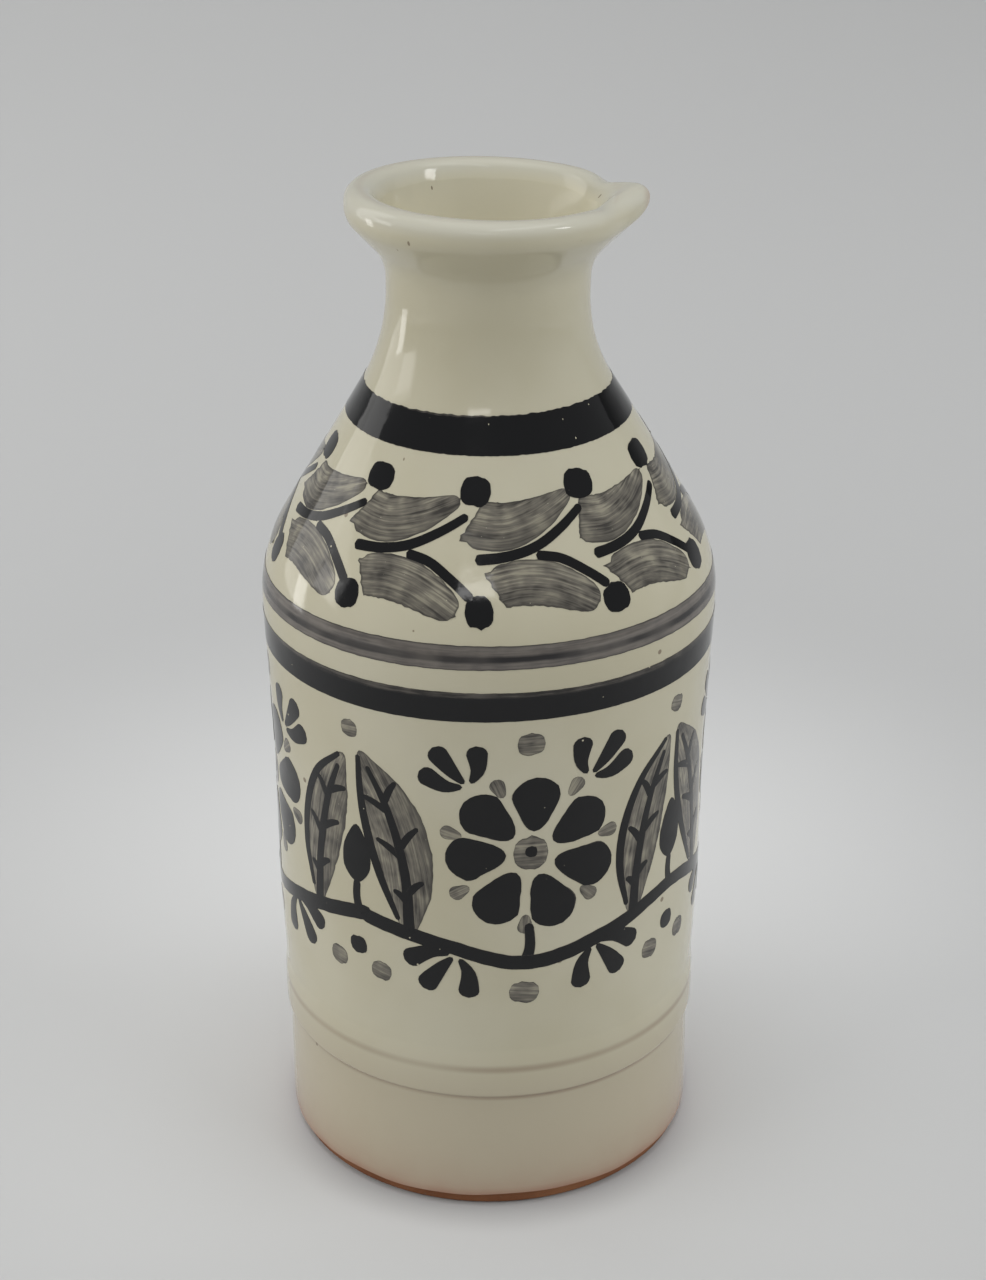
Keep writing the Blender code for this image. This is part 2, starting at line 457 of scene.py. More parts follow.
def split(tree, vector):
    """The three parts of a vector."""
    made = add(tree, "ShaderNodeSeparateXYZ")
    plug(tree, vector, made.inputs[0])
    return made.outputs


def own_place(tree):
    """Place on the object, in its own coordinates."""
    return add(tree, "ShaderNodeTexCoord").outputs["Object"]


def stored(tree, name):
    """A value that the mesh stores at its points."""
    return add(tree, "ShaderNodeAttribute", attribute_name=name).outputs["Fac"]


def blend(tree, share, first, second):
    """A colour between two, by a share."""
    made = add(tree, "ShaderNodeMix", data_type="RGBA")
    for number, source in ((0, share), (6, first), (7, second)):
        plug(tree, source, made.inputs[number])
    return made.outputs[2]


def new_group(name, inputs, outputs):
    """A shader node group with named inputs and outputs, with its entry and its exit."""
    group = bpy.data.node_groups.new(name, "ShaderNodeTree")
    for label, kind in inputs:
        group.interface.new_socket(label, in_out="INPUT", socket_type=kind)
    for label, kind in outputs:
        group.interface.new_socket(label, in_out="OUTPUT", socket_type=kind)
    entry = group.nodes.new("NodeGroupInput")
    leave = group.nodes.new("NodeGroupOutput")
    return group, entry, leave


def glassy_surface_group():
    """Gloss of fired glaze: faint waves and a fine orange peel, by place on the object."""
    group, entry, leave = new_group("glassy_surface", [("Waves", "NodeSocketFloat")],
                                    [("Roughness", "NodeSocketFloat"), ("Normal", "NodeSocketVector")])
    place_on = own_place(group)
    waves = noise(group, place_on, 95, 2)
    peel = noise(group, place_on, 900, 1)
    height = combine(group, "ADD", times(group, waves, entry.outputs["Waves"]), times(group, peel, 0.06))
    bump = feed(group, add(group, "ShaderNodeBump"), Height=height, Strength=0.1, Distance=1.2 * MM)
    gloss = spread(group, noise(group, place_on, 60, 3), 0.3, 0.7, 0.06, 0.1)
    feed(group, leave, Roughness=gloss, Normal=bump.outputs["Normal"])
    return group


def pinholes_group():
    """Tiny pinholes in the glaze, scattered over the wall's own map."""
    group, entry, leave = new_group("pinholes", [("Spacing", "NodeSocketFloat")],
                                    [("Mask", "NodeSocketFloat")])
    wall = add(group, "ShaderNodeUVMap", uv_map="wall").outputs["UV"]
    cells = add(group, "ShaderNodeTexVoronoi", voronoi_dimensions="2D")
    feed(group, cells, Vector=wall, Scale=entry.outputs["Spacing"])
    chance = combine(group, "FRACT", times(group, cells.outputs["Color"], 7.3))
    size = spread(group, chance, 0.45, 1, 0, 0.021)
    near = combine(group, "SUBTRACT", size, cells.outputs["Distance"])
    feed(group, leave, Mask=spread(group, near, -0.004, 0.004))
    return group


def brush_streaks_group():
    """Lie of a brushed colour: streaks along the stroke, gathered edges and the place across it."""
    group, entry, leave = new_group("brush_streaks", [("Fineness", "NodeSocketFloat")],
                                    [("Streaks", "NodeSocketFloat"), ("Edge", "NodeSocketFloat"),
                                     ("Across", "NodeSocketFloat"), ("Along", "NodeSocketFloat")])
    stroke = add(group, "ShaderNodeUVMap", uv_map="stroke").outputs["UV"]
    share = add(group, "ShaderNodeUVMap", uv_map="share").outputs["UV"]
    long_drawn = scaled(group, stroke, (0.04, 1.0, 1.0))
    fine = noise(group, long_drawn, entry.outputs["Fineness"], 3, 0.6)
    broad = noise(group, long_drawn, 0.55, 1)
    dashes = noise(group, scaled(group, stroke, (0.12, 1.0, 1.0)), entry.outputs["Fineness"], 2, 0.6)
    pools = noise(group, stroke, 0.22, 2)
    lines = combine(group, "ADD", times(group, fine, 0.42), times(group, dashes, 0.2))
    lines = combine(group, "ADD", lines, times(group, pools, 0.38))
    parts = split(group, share)
    waver = times(group, combine(group, "SUBTRACT", broad, 0.5), 0.16)
    across = combine(group, "ADD", parts["Y"], waver)
    from_middle = combine(group, "ABSOLUTE", combine(group, "SUBTRACT", parts["Y"], 0.5))
    from_ends = combine(group, "ABSOLUTE", combine(group, "SUBTRACT", parts["X"], 0.5))
    edge = combine(group, "MAXIMUM", spread(group, from_middle, 0.43, 0.49),
                   spread(group, from_ends, 0.47, 0.495))
    along = noise(group, scaled(group, stroke, (1.0, 0.0, 0.0)), 0.06, 2)
    feed(group, leave, Streaks=lines, Edge=edge, Across=across, Along=along)
    return group


def use_group(tree, group, **values):
    """A group placed in a material with its own values."""
    made = add(tree, "ShaderNodeGroup", node_tree=group)
    return feed(tree, made, **values)


def gloss_over(tree, shader, surface, colour):
    """Gives a shader its colour, under the gloss of the glaze."""
    gloss = use_group(tree, surface, Waves=1.0)
    feed(tree, shader, Base_Color=colour, Roughness=gloss.outputs["Roughness"],
         Normal=gloss.outputs["Normal"], IOR=GLAZE_IOR)


def glaze_material(surface, pinholes):
    """Glossy cream glaze: whiter where thick, with painted light inside the throat, showing the clay where it
    runs thin.
    """
    material, tree, shader = new_material("cream_glaze")
    place_on = own_place(tree)
    cream = blend(tree, spread(tree, noise(tree, place_on, 28, 3), 0.35, 0.7), CREAM, CREAM_DEEP)
    thick = stored(tree, "thick")
    cream = blend(tree, thick, cream, LIP_CREAM)
    # Painted light inside the throat, lighter deeper down
    painted_throat_light = stored(tree, "painted_throat_light")
    cream = blend(tree, painted_throat_light, cream, PAINTED_THROAT_LIGHT)
    warm = stored(tree, "warm")
    cream = blend(tree, times(tree, warm, 0.86), cream, WARM_CREAM)
    thin = stored(tree, "thin")
    patchy = times(tree, thin, spread(tree, noise(tree, place_on, 130, 2), 0.25, 0.65, 0.8, 1))
    cream = blend(tree, patchy, cream, THIN_GLAZE)
    parts = split(tree, place_on)
    outer = spread(tree, painted_throat_light, 0, 0.2, 1, 0)
    # Painted shade along the collar's two creases, where the clay also shows brownish through the thin glaze
    # at their edges
    creases = ((FOOT_BAND_HEIGHT + 0.1 * MM, 0.95 * MM, 0.66), (COLLAR_TOP - 1 * MM, 1.2 * MM, 0.5))
    filled = spread(tree, noise(tree, place_on, 24, 1), 0.35, 0.65, 0.5, 1)
    shown = times(tree, outer, filled)
    for height, width, strength in creases:
        away = combine(tree, "ABSOLUTE", combine(tree, "SUBTRACT", parts["Z"], height))
        line = times(tree, spread(tree, away, 0, width, strength, 0), shown)
        cream = blend(tree, line, cream, CREASE_SHADE)
    holes = use_group(tree, pinholes, Spacing=4.2).outputs["Mask"]
    cream = blend(tree, times(tree, holes, 0.75), cream, SPECK)
    gloss_over(tree, shader, surface, cream)
    return material


def black_material(name, surface, streaks, pinholes, fringe):
    """Dense black brushwork under the same gloss, worn to grey over a fringe of its upper edge."""
    material, tree, shader = new_material(name)
    brush = use_group(tree, streaks, Fineness=2.0)
    dry = spread(tree, brush.outputs["Streaks"], 0.42, 0.6, 0.25, 1)
    upper = spread(tree, brush.outputs["Across"], 1 - fringe, 1 - fringe / 3)
    black = blend(tree, times(tree, upper, dry), BLACK_PAINT, WORN_BLACK)
    holes = use_group(tree, pinholes, Spacing=11.0).outputs["Mask"]
    black = blend(tree, holes, black, CREAM_DEEP)
    gloss_over(tree, shader, surface, black)
    return material


def wash_material(surface, streaks, pinholes):
    """Thin brownish grey wash of the leaves: pale and dark streaks along the stroke, darker at its edges."""
    material, tree, shader = new_material("leaf_wash")
    brush = use_group(tree, streaks, Fineness=1.9)
    tone = blend(tree, spread(tree, brush.outputs["Streaks"], 0.38, 0.51), WASH_DARK, WASH_MIDDLE)
    tone = blend(tree, spread(tree, brush.outputs["Streaks"], 0.49, 0.61), tone, WASH_PALE)
    tone = blend(tree, spread(tree, brush.outputs["Across"], 0.1, 0.6, 0.3, 0), tone, WASH_DARK)
    tone = blend(tree, times(tree, brush.outputs["Edge"], 0.75), tone, WASH_DARK)
    holes = use_group(tree, pinholes, Spacing=26.0).outputs["Mask"]
    tone = blend(tree, holes, tone, CREAM)
    gloss_over(tree, shader, surface, tone)
    return material


def band_wash_material(surface, streaks):
    """Grey of the brushed band: a dark core below the middle, paler to both sides, thin dark edges."""
    material, tree, shader = new_material("band_wash")
    brush = use_group(tree, streaks, Fineness=2.2)
    across = brush.outputs["Across"]
    tone = blend(tree, spread(tree, brush.outputs["Streaks"], 0.38, 0.62), BAND_MIDDLE, BAND_PALE)
    below = spread(tree, across, 0.24, 0.36)
    above = spread(tree, across, 0.48, 0.66, 1, 0)
    core = times(tree, times(tree, below, above), spread(tree, brush.outputs["Along"], 0.35, 0.6, 0.45, 1))
    tone = blend(tree, core, tone, BAND_DARK)
    tone = blend(tree, times(tree, brush.outputs["Edge"], 0.7), tone, BAND_DARK)
    gloss_over(tree, shader, surface, tone)
    return material


def clay_material():
    """Bare fired earthenware: red-brown, grainy and matt, with turning lines."""
    material, tree, shader = new_material("bare_clay")
    place_on = own_place(tree)
    patches = noise(tree, place_on, 70, 4, 0.6)
    grain = noise(tree, place_on, 1500, 2)
    colour = blend(tree, spread(tree, patches, 0.3, 0.72), RED_CLAY, PALE_CLAY)
    colour = blend(tree, spread(tree, grain, 0.62, 0.72, 0, 0.5), colour, SPECK)
    bump = feed(tree, add(tree, "ShaderNodeBump"), Height=grain, Strength=0.35, Distance=0.2 * MM)
    feed(tree, shader, Base_Color=colour, Roughness=spread(tree, patches, 0.2, 0.8, 0.7, 0.9),
         Normal=bump.outputs["Normal"])
    return material


def paper_material():
    """Pale paper with painted light and shade: lit around the pot, shaded up the sweep, to the right and in
    front, with a painted contact shadow before the foot.
    """
    material, tree, shader = new_material("pale_paper")
    place_on = own_place(tree)
    parts = split(tree, place_on)
    rise = combine(tree, "ADD", parts["Z"], times(tree, parts["X"], 0.12))
    away = far_from(tree, place_on, (0, 0.07, 0))
    colour = blend(tree, spread(tree, rise, -0.1, 0.45), PAPER, PAPER_SHADE)
    colour = blend(tree, spread(tree, parts["Y"], -0.2, 0.02, 0.2, 0), colour, PAPER_SHADE)
    colour = blend(tree, spread(tree, away, 0.02, 0.2, 1, 0), colour, PAPER_LIGHT_POOL)
    # Painted contact shadow on the paper right in front of the foot
    contact_shadow = spread(tree, far_from(tree, place_on, (0, 0, 0)), 0.04, 0.05, 0.45, 0)
    before = spread(tree, parts["Y"], -0.045, -0.005, 1, 0)
    colour = blend(tree, times(tree, contact_shadow, before), colour, PAPER_SHADE)
    feed(tree, shader, Base_Color=colour, Roughness=0.85)
    return material


# Glaze and clay

def glaze_skin(material):
    """Both glazes as one skin, running over the lip without a seam."""
    face = outside(FINE_CHORD, FINE_SPAN) + inside(FINE_CHORD, 2 * FINE_SPAN)[1:]
    back = shifted(outside(COARSE_CHORD, COARSE_SPAN) + inside(COARSE_CHORD, COARSE_SPAN)[1:], -COAT)
    skin = turned_piece("glaze_skin", face[::-1] + back)
    places = coordinates(skin)
    map_skin(skin, places)
    places = pull_spout(push_wall(places))
    angle, radius = around(places)
    near_foot = ease((9 * MM - places[:, 2]) / (7 * MM)) * (radius > FOOT_RADIUS - 3 * MM)
    run = 0.22 * np.sin(3 * angle + 1.1) + 0.14 * np.sin(7 * angle + 0.4) + 0.07 * np.sin(17 * angle)
    places[:, 2] += run * MM * near_foot
    place(skin, places)
    thin_glaze(skin, places)
    finish_piece(skin, material)
    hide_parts("outer_glaze", "liner_glaze")


def thin_glaze(skin, places):
    """Stores where the glaze is thin (foot, lip, spout), warm (foot band) or thick (lip), and the painted
    light inside the throat.
    """
    z = places[:, 2]
    angle, radius = around(places)
    outer = radius > np.interp(z, WALL_OUTLINE[:, 1], WALL_OUTLINE[:, 0]) - 2 * MM
    above_foot = np.maximum(z - BARE_FOOT_HEIGHT, 0)
    foot = 0.75 * np.exp(-above_foot / (0.6 * MM)) + 0.58 * np.exp(-above_foot / (6 * MM))
    warm = ease((COLLAR_TOP + 6 * MM - z) / (16 * MM)) * outer
    spout_tip = 0.45 * ease((places[:, 0] - LIP_RADIUS - 1.2 * MM) / (1.8 * MM)) * (z > LIP_BOTTOM)
    crest = 0.13 * np.exp(-((radius - LIP_RADIUS + LIP_CREST) / (0.7 * MM)) ** 2) * (z > LIP_TOP - 1 * MM)
    left_lip = np.exp(-((angle + 1.75) / 0.22) ** 2)
    left_lip = 0.55 * left_lip * np.exp(-((z - LIP_BOTTOM - 0.6 * MM) / (0.8 * MM)) ** 2)
    thin = (foot + spout_tip + crest + left_lip) * outer
    # Painted light inside the throat: a step below the lip's inner edge, lighter still deeper down
    at_edge = ease((LIP_TOP - 0.8 * LIP_DROP - z) / (1.4 * MM))
    deeper = ease((LIP_TOP - 4 * MM - z) / (9 * MM))
    painted_throat_light = (0.4 * at_edge + 0.6 * deeper) * ~outer
    thick = ease((z - LIP_BOTTOM - 1.2 * MM) / (2.6 * MM))
    for name, values in (("thin", thin), ("warm", warm), ("thick", thick), ("painted_throat_light", painted_throat_light)):
        skin.data.attributes.new(name, "FLOAT", "POINT").data.foreach_set("value", np.clip(values, 0, 1))


def map_skin(skin, places):
    """Maps the turned skin, in decimetres around it, up the outside and on down the inside."""
    sides = np.empty(len(skin.data.polygons), dtype=int)
    skin.data.polygons.foreach_get("loop_total", sides)
    face = np.repeat(np.arange(len(sides)), sides)
    at = places[corner_points(skin)]
    angle, radius = around(at)
    widest = np.full(len(sides), -pi)
    np.maximum.at(widest, face, angle)
    angle = np.where(widest[face] - angle > pi, angle + 2 * pi, angle)
    inner = radius < np.interp(at[:, 2], WALL_OUTLINE[:, 1], WALL_OUTLINE[:, 0]) - 3 * MM
    crest_radius = LIP_RADIUS - LIP_CREST
    down = 2 * LIP_TOP - at[:, 2] + (crest_radius - radius) / 2
    spots = np.stack([angle * FOOT_RADIUS * 10, np.where(inner, down, at[:, 2]) * 10], axis=-1)
    skin.data.uv_layers.new(name="wall").data.foreach_set("uv", spots.ravel())


def clay_pot(material):
    """The clay under the glazes, down to its bare foot ring and the turned recess below."""
    ring = FOOT_RADIUS - SKIN
    wall = shifted(outside(COARSE_CHORD, COARSE_SPAN) + inside(COARSE_CHORD, COARSE_SPAN)[1:], -SKIN)
    foot = rounded([
        (0, FOOT_RECESS_DEPTH, 0),
        (ring - FOOT_RING_WIDTH - FOOT_RECESS_DEPTH, FOOT_RECESS_DEPTH, 0.6 * MM),
        (ring - FOOT_RING_WIDTH, 0, 0.4 * MM),
        (ring, 0, 0.7 * MM),
        wall[0],
    ], FINE_CHORD, 3 * MM)
    pot = turned_piece("clay_pot", wall[::-1] + foot[-2::-1])
    place(pot, pull_spout(push_wall(coordinates(pot))))
    finish_piece(pot, material)
    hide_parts("clay_body")


# Brushwork

def smooth_path(points, count):
    """A curve through given points, read at evenly spaced shares of its length."""
    points = np.array(points, dtype=float)
    padded = np.vstack([2 * points[0] - points[1], points, 2 * points[-1] - points[-2]])
    share = np.linspace(0, 1, 24, endpoint=False)[:, None]
    dense = []
    for before, start, end, after in zip(padded, padded[1:], padded[2:], padded[3:]):
        dense.append(0.5 * (2 * start + (end - before) * share
                            + (2 * before - 5 * start + 4 * end - after) * share ** 2
                            + (3 * start - before - 3 * end + after) * share ** 3))
    dense = np.vstack(dense + [points[-1:]])
    along = np.concatenate(([0], np.cumsum(np.hypot(*np.diff(dense[:, :2], axis=0).T))))
    where = np.linspace(0, along[-1], count)
    return np.stack([np.interp(where, along, column) for column in dense.T], axis=-1), where


def headings(line):
    """Unit vectors along a sampled line."""
    steps = np.gradient(line[:, :2], axis=0)
    return steps / np.hypot(*steps.T)[:, None]


def hand_tremor(random, count, waves):
    """A wavering line of count values, about -1 to 1, as a hand draws."""
    share = np.linspace(0, 1, count)
    line = np.zeros(count)
    for wave in waves:
        line += np.sin(2 * pi * (wave * share + random.random())) * random.uniform(0.4, 1) / len(waves)
    return line


def degrees_for(width, height):
    """The angle, in degrees, that a width in mm takes on the wall at a height in mm."""
    radius = wall_at(length_at(height * MM))[0]
    return width * MM / radius * 180 / pi


def flat_grid(steps, rows):
    """A new flat grid, with each vertex's share of its length and its width."""
    bpy.ops.mesh.primitive_grid_add(x_subdivisions=steps, y_subdivisions=rows, size=1)
    grid = bpy.context.object
    along, across = coordinates(grid)[:, :2].T + 0.5
    return grid, along, across


class Brush:
    """Strokes of one kind of paint, gathered into one piece that lies on the wall."""

    def __init__(self, name, height, seed):
        self.name = name
        self.height = height
        self.random = Random(seed)
        self.strokes = []

    def stroke(self, points, start="round", end="round", ragged=0.04, slant=(0, 0), waves=(2, 5, 9, 17)):
        """One stroke through (angle in degrees, height in mm, width in mm) points.

        An end is round, square (a dab with full corners) or dry; slant leans the two ends, in mm.
        """
        lengths = [length_at(z * MM) for a, z, w in points]
        radius = wall_at(np.mean(lengths))[0]
        path = [(radians(a) * radius, length, w * MM) for (a, z, w), length in zip(points, lengths)]
        line, along = smooth_path(path, STROKE_SAMPLES)
        heading = headings(line)
        half = line[:, 2] / 2
        for kind, far in ((start, along), (end, along[-1] - along)):
            if kind == "dry":
                half = half * (1 - 0.22 * (1 - np.clip(far / (1.6 * MM), 0, 1)) ** 2)
            else:
                power = 2 if kind == "round" else 2.7
                cap = np.clip(far / np.maximum(line[:, 2] / 2, 0.01 * MM), 0, 1)
                half = half * np.maximum(1 - (1 - cap) ** power, 0.0016) ** (1 / power)
        left = half * (1 + ragged * hand_tremor(self.random, STROKE_SAMPLES, waves))
        right = half * (1 + ragged * hand_tremor(self.random, STROKE_SAMPLES, waves))
        steps = max(10, ceil(along[-1] / STROKE_SPAN))
        rows = max(3, ceil(line[:, 2].max() / STROKE_SPAN))
        grid, u, share = flat_grid(steps, rows)
        if start != "dry" or end != "dry":
            u = 0.35 * u + 0.65 * (0.5 - 0.5 * np.cos(pi * u))
        v = 2 * share - 1
        spot = u * along[-1] + self.end_slips(u, v, start, end, slant)
        beyond = spot - np.clip(spot, 0, along[-1])
        across = np.where(v > 0, np.interp(spot, along, left), np.interp(spot, along, right)) * v
        heading_x = np.interp(spot, along, heading[:, 0])
        heading_y = np.interp(spot, along, heading[:, 1])
        x = np.interp(spot, along, line[:, 0]) - across * heading_y + beyond * heading_x
        y = np.interp(spot, along, line[:, 1]) + across * heading_x + beyond * heading_y
        self.lay(grid, x / radius, y, (spot, across), (u, share))

    def end_slips(self, u, v, start, end, slant):
        """How far each bristle's line starts late or runs on: leaning ends, and a fringe on dry ones."""
        slips = np.zeros(len(u))
        for kind, lean, near in ((start, slant[0], 1 - u), (end, slant[1], u)):
            fringe = 0
            if kind == "dry":
                bristles = hand_tremor(self.random, 30, (3, 5, 8, 11))
                fringe = 0.55 * np.interp(v, np.linspace(-1, 1, 30), bristles)
            slips += (lean * v + fringe) * MM * ease((near - 0.55) / 0.45)
        return slips

    def ring(self, low, high, wave, ragged):
        """A band right around the pot between two heights in mm; waver and raggedness of its two edges."""
        rows = max(4, ceil((high - low) * MM / STROKE_SPAN))
        grid, u, v = flat_grid(RING_STEPS, rows)
        turn = np.linspace(0, 1, RING_SAMPLES)
        edges = []
        for level, slow, quick in zip((low, high), wave, ragged):
            line = slow * hand_tremor(self.random, RING_SAMPLES, (1, 2, 3, 5))
            line += quick * hand_tremor(self.random, RING_SAMPLES, (29, 47, 61, 83, 97, 131))
            edges.append(np.interp(u, turn, length_at(level * MM) + line * MM))
        length = edges[0] + (edges[1] - edges[0]) * v
        around = (u - 0.5) * 2 * pi
        across = length - (edges[0] + edges[1]) / 2
        self.lay(grid, around, length, (around * WAIST_RADIUS, across), (u, v))

    def blot(self, angle, height, wide, tall):
        """A dab of paint with full, uneven corners."""
        half = degrees_for(wide / 2, height)
        rise = self.random.uniform(-0.5, 0.5)
        self.stroke([(angle - half, height - rise, tall * self.random.uniform(0.8, 1)),
                     (angle, height, tall * self.random.uniform(0.95, 1.05)),
                     (angle + half, height + rise, tall * self.random.uniform(0.8, 1))],
                    start="square", end="square", ragged=0.16, waves=(1, 2, 3, 5))

    def lay(self, grid, angle, length, stroke, share):
        """Puts a grid on the wall, with maps along the stroke in mm, as a share of it, and of the wall."""
        place(grid, on_wall(angle, length, self.height))
        offset = self.random.uniform(0, 400)
        corners = corner_points(grid)
        grid.data.uv_layers[0].name = "stroke"
        maps = {
            "stroke": (stroke[0] / MM + offset, stroke[1] / MM + offset * 0.37),
            "share": share,
            "wall": (angle * FOOT_RADIUS * 10, length * 10),
        }
        for name, (first, second) in maps.items():
            layer = grid.data.uv_layers.get(name) or grid.data.uv_layers.new(name=name)
            layer.data.foreach_set("uv", np.stack([first, second], axis=-1)[corners].ravel())
        self.strokes.append(grid)

    def done(self, material):
        """Joins the strokes, gives the film its depth and finishes the piece."""
        select_only(self.strokes)
        piece = self.strokes[0]
        if len(self.strokes) > 1:
            bpy.ops.object.join()
        piece.name = self.name
        bpy.ops.object.mode_set(mode="EDIT")
        bpy.ops.mesh.select_all(action="SELECT")
        bpy.ops.mesh.remove_doubles(threshold=0.001 * MM)
        bpy.ops.object.mode_set(mode="OBJECT")
        film = piece.modifiers.new("film", "SOLIDIFY")
        film.thickness = FILM_DEPTH
        film.offset = -1
        bpy.ops.object.modifier_apply(modifier=film.name)
        finish_piece(piece, material)


GARLAND_REPEATS = 10
GARLAND_START = -40.6


def paint_garland(black, wash):
    """Leaf and berry border on the shoulder: ten sprigs, each a rising stem with a leaf above and below."""
    leaves = Brush("garland_leaves", WASH_HEIGHT, 11)
    stems = Brush("garland_stems", STROKE_HEIGHT, 12)
    berries = Brush("garland_berries", STROKE_HEIGHT, 13)
    hand = stems.random
    for repeat in range(GARLAND_REPEATS):
        a = GARLAND_START + repeat * 360 / GARLAND_REPEATS + hand.uniform(-1, 1)
        z = hand.uniform(-0.4, 0.4)
        leaves.stroke([(a - 2, 139.3 + z, 8.4), (a + 8, 138.8 + z, 8.5), (a + 18, 140.1 + z, 6.6),
                       (a + 26, 141.8 + z, 4), (a + 31.5, 143.1 + z, 2)],
                      start="dry", slant=(hand.uniform(0.4, 2), 0.3), ragged=0.06, waves=(2, 5, 9, 17, 31))
        leaves.stroke([(a + 5, 129.6 + z, 7.4), (a + 12.5, 130.3 + z, 8), (a + 20, 129.75 + z, 8),
                       (a + 27, 127.9 + z, 6.6), (a + 32.5, 125.7 + z, 4.3)],
                      start="dry", end="square", slant=(-hand.uniform(0.8, 2.2), hand.uniform(-0.3, 0.9)),
                      ragged=0.07, waves=(2, 5, 9, 17, 31))
        stems.stroke([(a, 133.8 + z, 2), (a + 9, 134.3 + z, 1.85), (a + 17.3, 135.5 + z, 1.8),
                      (a + 25.5, 137.8 + z, 1.7), (a + 34.3, 140.7 + z, 1.5)], start="square")
        stems.stroke([(a + 17.2, 134.3 + z, 1.7), (a + 24.5, 133.3 + z, 1.75), (a + 31.5, 130.6 + z, 1.75),
                      (a + 36.5, 128 + z, 1.75)], start="square")
        berries.blot(a + 36 + hand.uniform(-0.6, 0.6), 144.6 + hand.uniform(-0.4, 0.4),
                     hand.uniform(4.6, 6.2), hand.uniform(4.8, 5.6))
        berries.blot(a + 38.4 + hand.uniform(-0.6, 0.6), 126.4 + hand.uniform(-0.4, 0.4),
                     hand.uniform(4.9, 5.7), hand.uniform(5.1, 5.9))
    leaves.done(wash)
    stems.done(black)
    berries.done(black)


def paint_bands(black, fringed_black, wash):
    """Bands drawn on the turning wheel: black at the neck, streaky grey and black below the shoulder."""
    neck = Brush("neck_band", STROKE_HEIGHT, 21)
    neck.ring(149.9, 155.9, wave=(0.25, 0.3), ragged=(0.16, 0.28))
    neck.done(black)
    grey = Brush("grey_band", STROKE_HEIGHT, 22)
    grey.ring(116.4, 120.8, wave=(0.3, 0.3), ragged=(0.12, 0.1))
    grey.done(wash)
    body = Brush("body_band", STROKE_HEIGHT, 23)
    body.ring(106.3, 112.0, wave=(0.25, 0.25), ragged=(0.08, 0.12))
    body.done(fringed_black)


FRIEZE_REPEATS = 4
FRIEZE_START = -35
FRIEZE_MIDDLE = 75
FRIEZE_UNIT = 64

# Sprays above and below the vine: root, then the place and sway of each comma's end
FRIEZE_SPRAYS = (
    ((21.5, 17.5), ((12.6, 20.5, 0.1), (15, 25.6, 0.02), (22.5, 26.4, -0.1))),
    ((42.5, 17.5), ((51.6, 20.8, -0.1), (49.2, 25.8, -0.02), (41.5, 26.4, 0.1))),
    ((19.5, -16.5), ((9.5, -19.8, -0.1), (13, -25.2, -0.02), (21.5, -26.4, 0.1))),
    ((44.5, -16.5), ((54.5, -19.8, 0.1), (51, -25.2, 0.02), (42.5, -26.4, -0.1))),
)


class Motif:
    """One repeat of the frieze, drawn by hand: strokes set in mm along it and above its middle line."""

    def __init__(self, start, hand):
        self.start = start
        self.lean = hand.uniform(-0.07, 0.07)
        self.stretch = hand.uniform(0.96, 1.03)

    def at(self, s, h, width):
        """A stroke point as an angle, a height and a width."""
        angle = self.start + (s + h * self.lean) * 360 / FRIEZE_REPEATS / FRIEZE_UNIT
        return angle, FRIEZE_MIDDLE + h * self.stretch, width

    def stroke(self, brush, points, **ends):
        """A brush stroke through points of this repeat."""
        brush.stroke([self.at(*point) for point in points], **ends)

    def dab(self, brush, s, h, wide, tall):
        """A dab of paint at a point of this repeat."""
        angle, height, tall = self.at(s, h, tall)
        brush.blot(angle, height, wide, tall)


def paint_rosette(motif, petals, washes, s, h, size):
    """A round flower: seven black petals, grey dabs between their tips and a grey middle."""
    hand = petals.random
    turn = hand.uniform(0, 2 * pi)
    bend = 0.1
    for number in range(7):
        angle = turn + number * 2 * pi / 7 + hand.uniform(-0.05, 0.05)
        reach = size * hand.uniform(0.95, 1.04)
        points = []
        for share, width in ((0.29, 0.17), (0.52, 0.39), (0.78, 0.58), (1.0, 0.52)):
            lean = angle + bend * share
            points.append((s + reach * share * cos(lean), h + reach * share * sin(lean), width * size))
        motif.stroke(petals, points, ragged=0.05)
        between = angle + pi / 7 + bend
        points = []
        for share, width in ((0.8, 0.08), (0.94, 0.17), (1.05, 0.2)):
            points.append((s + size * share * cos(between), h + size * share * sin(between), width * size))
        motif.stroke(washes, points)
    motif.dab(washes, s, h, 0.4 * size, 0.42 * size)
    motif.dab(petals, s + hand.uniform(-0.3, 0.3), h + hand.uniform(-0.3, 0.3), 2.2, 2.3)


def paint_leaf(motif, washes, lines, path, widths, veins):
    """A long grey leaf with a black midrib, side veins and a black line down one edge."""
    outline = [(s, h, width) for (s, h), width in zip(path, widths)]
    motif.stroke(washes, outline, ragged=0.06)
    spine = smooth_path(outline, 61)[0]
    heading = headings(spine)

    def off_spine(step, out, on):
        """A point to the left of the spine and a little on from a step of it."""
        left = np.array([-heading[step, 1], heading[step, 0]])
        return spine[step, :2] + left * out + heading[step] * on

    midrib = [(*spine[step, :2], width) for step, width in ((0, 2.3), (20, 1.9), (40, 1.6), (55, 1))]
    motif.stroke(lines, midrib)
    edge = []
    for step, width in ((4, 1), (18, 1.7), (32, 1.9), (46, 1.6), (59, 1)):
        out = spine[step, 2] / 2 - 0.3
        edge.append((*off_spine(step, out, 0), width))
    motif.stroke(lines, edge)
    for number in range(veins):
        step = 10 + round(number * 30 / max(veins - 1, 1))
        for side in (1, -1):
            ahead = step + (3 if side < 0 else 0)
            out = spine[ahead, 2] / 2 * 0.74
            root = spine[ahead, :2]
            tip = off_spine(ahead, out * side, out * 0.9)
            middle = (root + tip) / 2 + heading[ahead] * 0.4
            motif.stroke(lines, [(*root, 1.4), (*middle, 1.4), (*tip, 0.8)])


